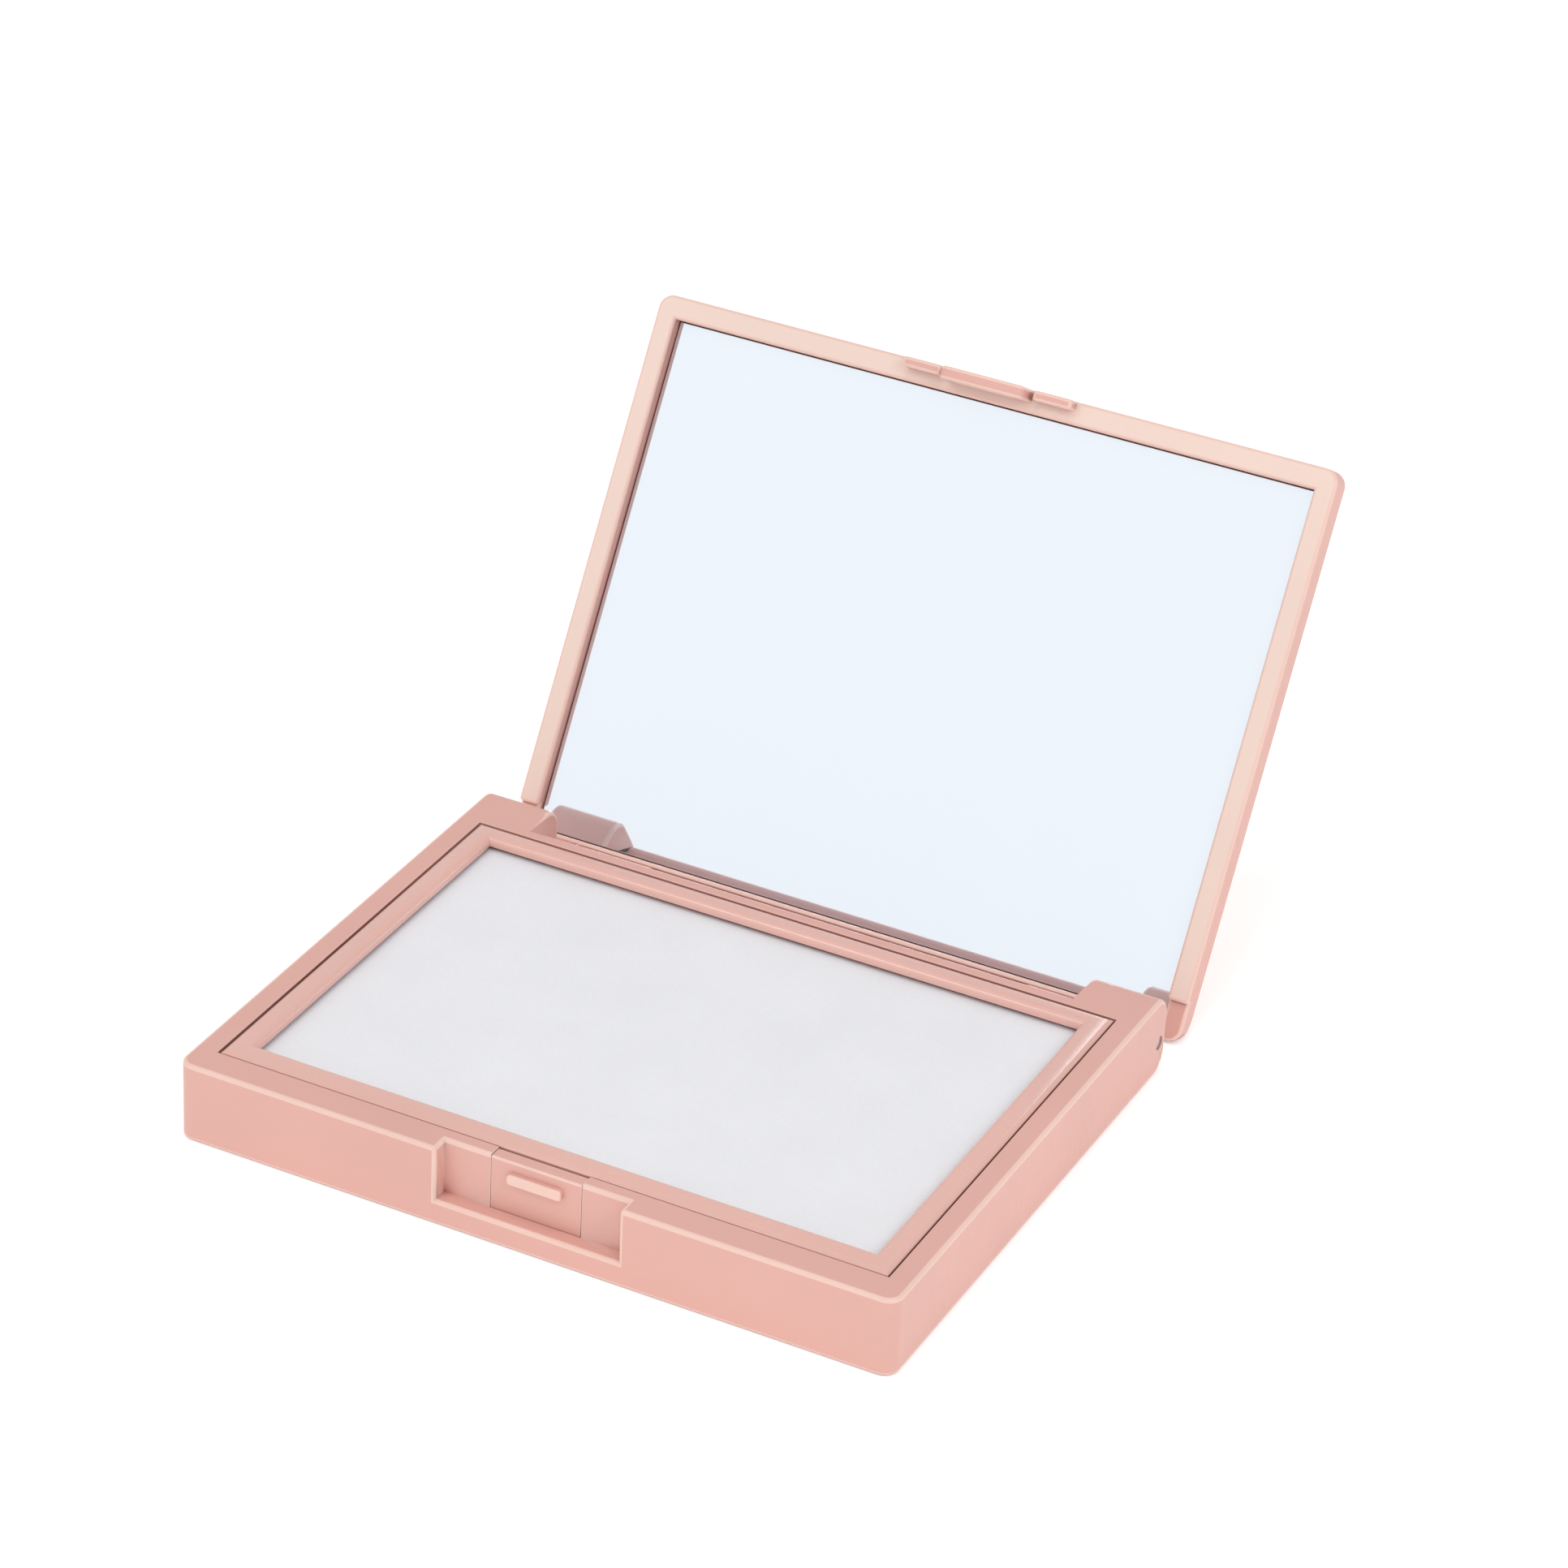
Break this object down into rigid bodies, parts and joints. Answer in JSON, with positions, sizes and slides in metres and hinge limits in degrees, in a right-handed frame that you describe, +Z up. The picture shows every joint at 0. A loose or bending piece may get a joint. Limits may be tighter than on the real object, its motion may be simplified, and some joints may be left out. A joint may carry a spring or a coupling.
{
  "type": "wet palette",
  "caption": "Flat folding wet palette: pink base with damp sponge and palette sheet under a mitred frame, and a hinged mirror lid with a snap latch, shown open.",
  "frame": {"origin": "centre of the base's flat underside", "axes": "+X to the right, +Y from the latch at the front to the hinge at the back, +Z up; the lid is modelled open"},
  "size_m": [0.1, 0.1267, 0.0694],
  "materials": {
    "base_plastic": "satin pink",
    "frame_plastic": "satin pink",
    "lid_plastic": "satin pink",
    "tray_plastic": "smooth white",
    "seal_silicone": "translucent white",
    "sponge": "open-cell, damp",
    "paper": "smooth parchment",
    "pin_steel": "drawn wire",
    "mirror_glass": "silvered glass",
    "tape": "foam tape"
  },
  "bodies": {
    "base": {"base_shell": "base_plastic", "water_tray": "tray_plastic", "tray_seal": "seal_silicone", "sponge": "sponge", "palette_paper": "paper", "retaining_frame": "frame_plastic", "hinge_pin_left": "pin_steel", "hinge_pin_right": "pin_steel"},
    "lid": {"lid_shell": "lid_plastic", "mirror": "mirror_glass", "mirror_tape": "tape"},
    "latch": {"latch_tongue": "base_plastic"}
  },
  "joints": [
    {"name": "lid_hinge", "type": "hinge", "parent": "base", "child": "lid", "pos_m": [0, 0.0378, 0.0044], "axis": [1, 0, 0], "range_deg": [0, 121]},
    {"name": "latch_flex", "type": "hinge", "parent": "base", "child": "latch", "pos_m": [0, -0.03665, 0.0032], "axis": [-1, 0, 0], "range_deg": [0, 2], "stiffness_Nm_per_rad": 0.05}
  ]
}
